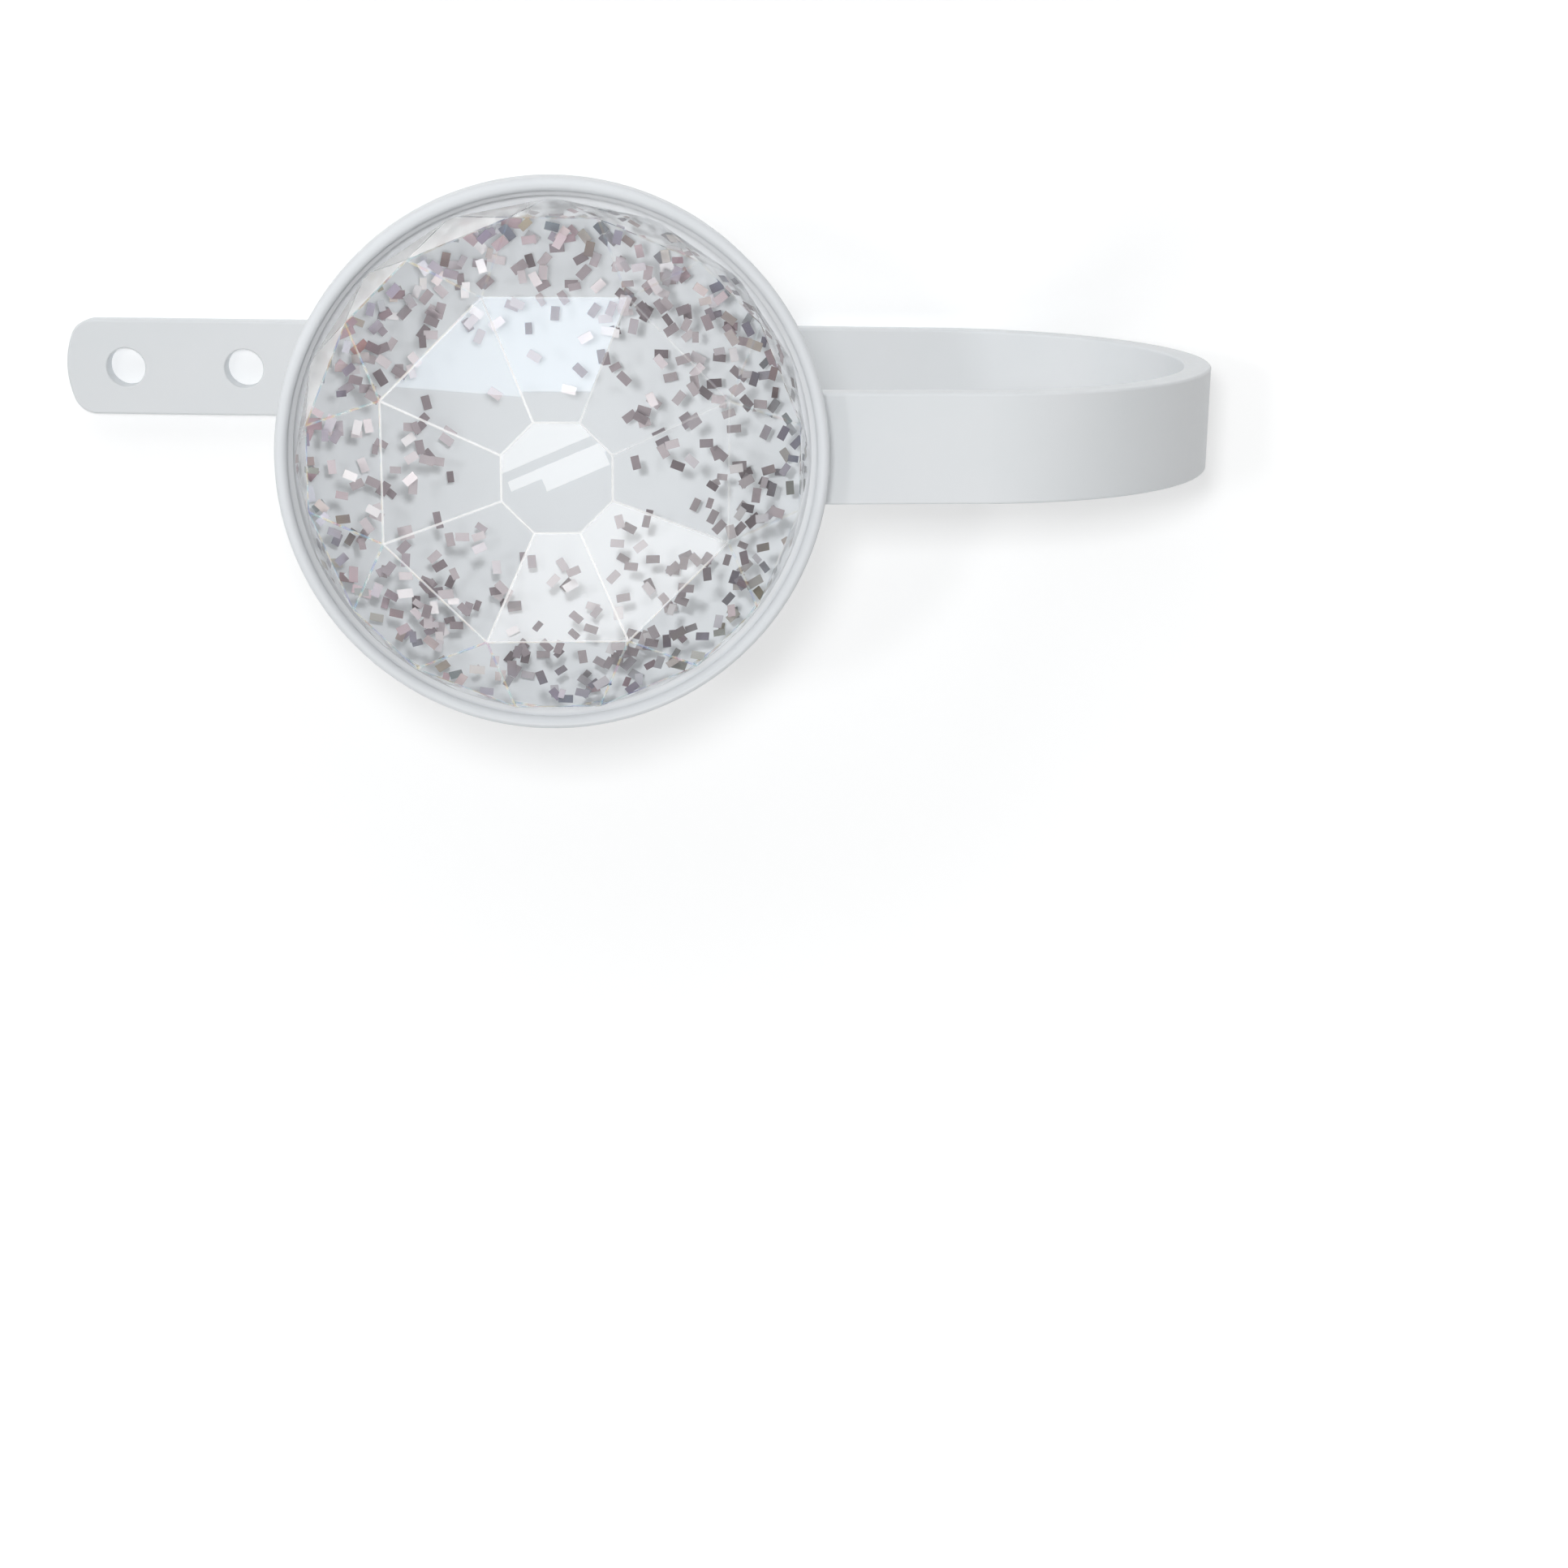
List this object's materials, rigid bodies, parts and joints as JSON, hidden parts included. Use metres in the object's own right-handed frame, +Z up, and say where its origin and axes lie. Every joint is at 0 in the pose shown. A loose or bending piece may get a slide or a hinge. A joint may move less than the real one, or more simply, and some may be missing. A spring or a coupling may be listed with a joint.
{
  "type": "curtain holdback",
  "caption": "Flat bar bent into a U that holds a curtain back: a screw tab on the wall at one end, a round dish with a faceted glitter crystal at the other.",
  "frame": {"origin": "midway between the two wall screw holes, on the face of the tab that lies on the wall", "axes": "+X from the mounting tab along the wall to the bend, +Y into the wall, +Z up"},
  "size_m": [0.188, 0.1112, 0.0764],
  "materials": {
    "bar_coat": "satin white powder coat on steel",
    "dish_coat": "satin white powder coat on die-cast metal",
    "clear_resin": "clear cast resin, polished facets",
    "glitter_film": "metallised polyester film, cut oblong",
    "zinc_plate": "bright zinc plate"
  },
  "bodies": {
    "root": {"bracket": "bar_coat", "dish": "dish_coat", "crystal": "clear_resin", "glitter_flakes": "glitter_film", "knob_screw": "zinc_plate"}
  },
  "joints": []
}
